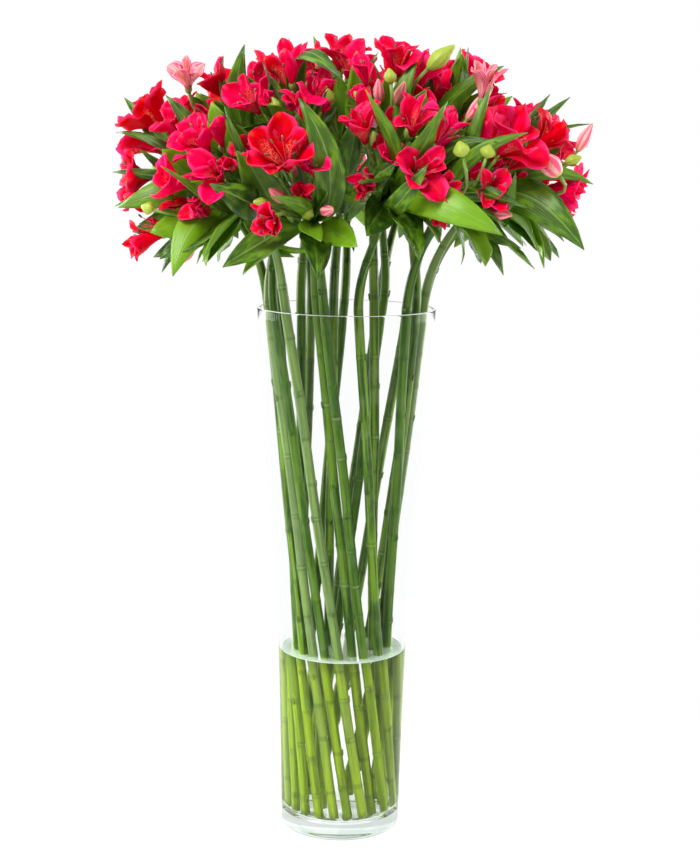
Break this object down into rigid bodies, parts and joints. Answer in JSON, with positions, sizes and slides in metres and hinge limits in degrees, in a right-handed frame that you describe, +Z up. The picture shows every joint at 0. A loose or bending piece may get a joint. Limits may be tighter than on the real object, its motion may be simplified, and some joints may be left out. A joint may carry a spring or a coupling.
{
  "type": "alstroemeria bouquet in a glass vase",
  "caption": "Cut alstroemeria bouquet with clustered funnel-shaped blooms and lance-shaped leaves, standing in a tall flared clear glass vase part filled with water.",
  "frame": {"origin": "centre of the vase's flat underside", "axes": "+Z up out of the vase's mouth, -Y towards the side that the picture shows"},
  "size_m": [0.4052, 0.373, 0.6747],
  "materials": {
    "vase_glass": "clear, polished, with a thick base",
    "water": "clear still water; a clear plastic stands in for it, as its density is the nearest",
    "green_tissue": "satin, waxy, fleshy stalks and leaves",
    "petal_tissue": "satin with a soft sheen, crimson to magenta"
  },
  "bodies": {
    "root": {"vase": "vase_glass", "water": "water", "stem_low_left": "green_tissue", "stem_left": "green_tissue", "stem_left_front": "green_tissue", "stem_front_left": "green_tissue", "stem_front_right": "green_tissue", "stem_right_front": "green_tissue", "stem_right": "green_tissue", "stem_far_right": "green_tissue", "stem_crown_left": "green_tissue", "stem_crown_front_left": "green_tissue", "stem_crown_front_right": "green_tissue", "stem_crown_right": "green_tissue", "stem_crown_top": "green_tissue", "stem_crown_back_left": "green_tissue", "stem_crown_back_right": "green_tissue", "stem_back_left": "green_tissue", "stem_back_near_left": "green_tissue", "stem_back": "green_tissue", "stem_back_near_right": "green_tissue", "stem_back_right": "green_tissue", "flowers_low_left": "petal_tissue", "flowers_left": "petal_tissue", "flowers_left_front": "petal_tissue", "flowers_front_left": "petal_tissue", "flowers_front_right": "petal_tissue", "flowers_right_front": "petal_tissue", "flowers_right": "petal_tissue", "flowers_far_right": "petal_tissue", "flowers_crown_left": "petal_tissue", "flowers_crown_front_left": "petal_tissue", "flowers_crown_front_right": "petal_tissue", "flowers_crown_right": "petal_tissue", "flowers_crown_top": "petal_tissue", "flowers_crown_back_left": "petal_tissue", "flowers_crown_back_right": "petal_tissue", "flowers_back_left": "petal_tissue", "flowers_back_near_left": "petal_tissue", "flowers_back": "petal_tissue", "flowers_back_near_right": "petal_tissue", "flowers_back_right": "petal_tissue"}
  },
  "joints": []
}
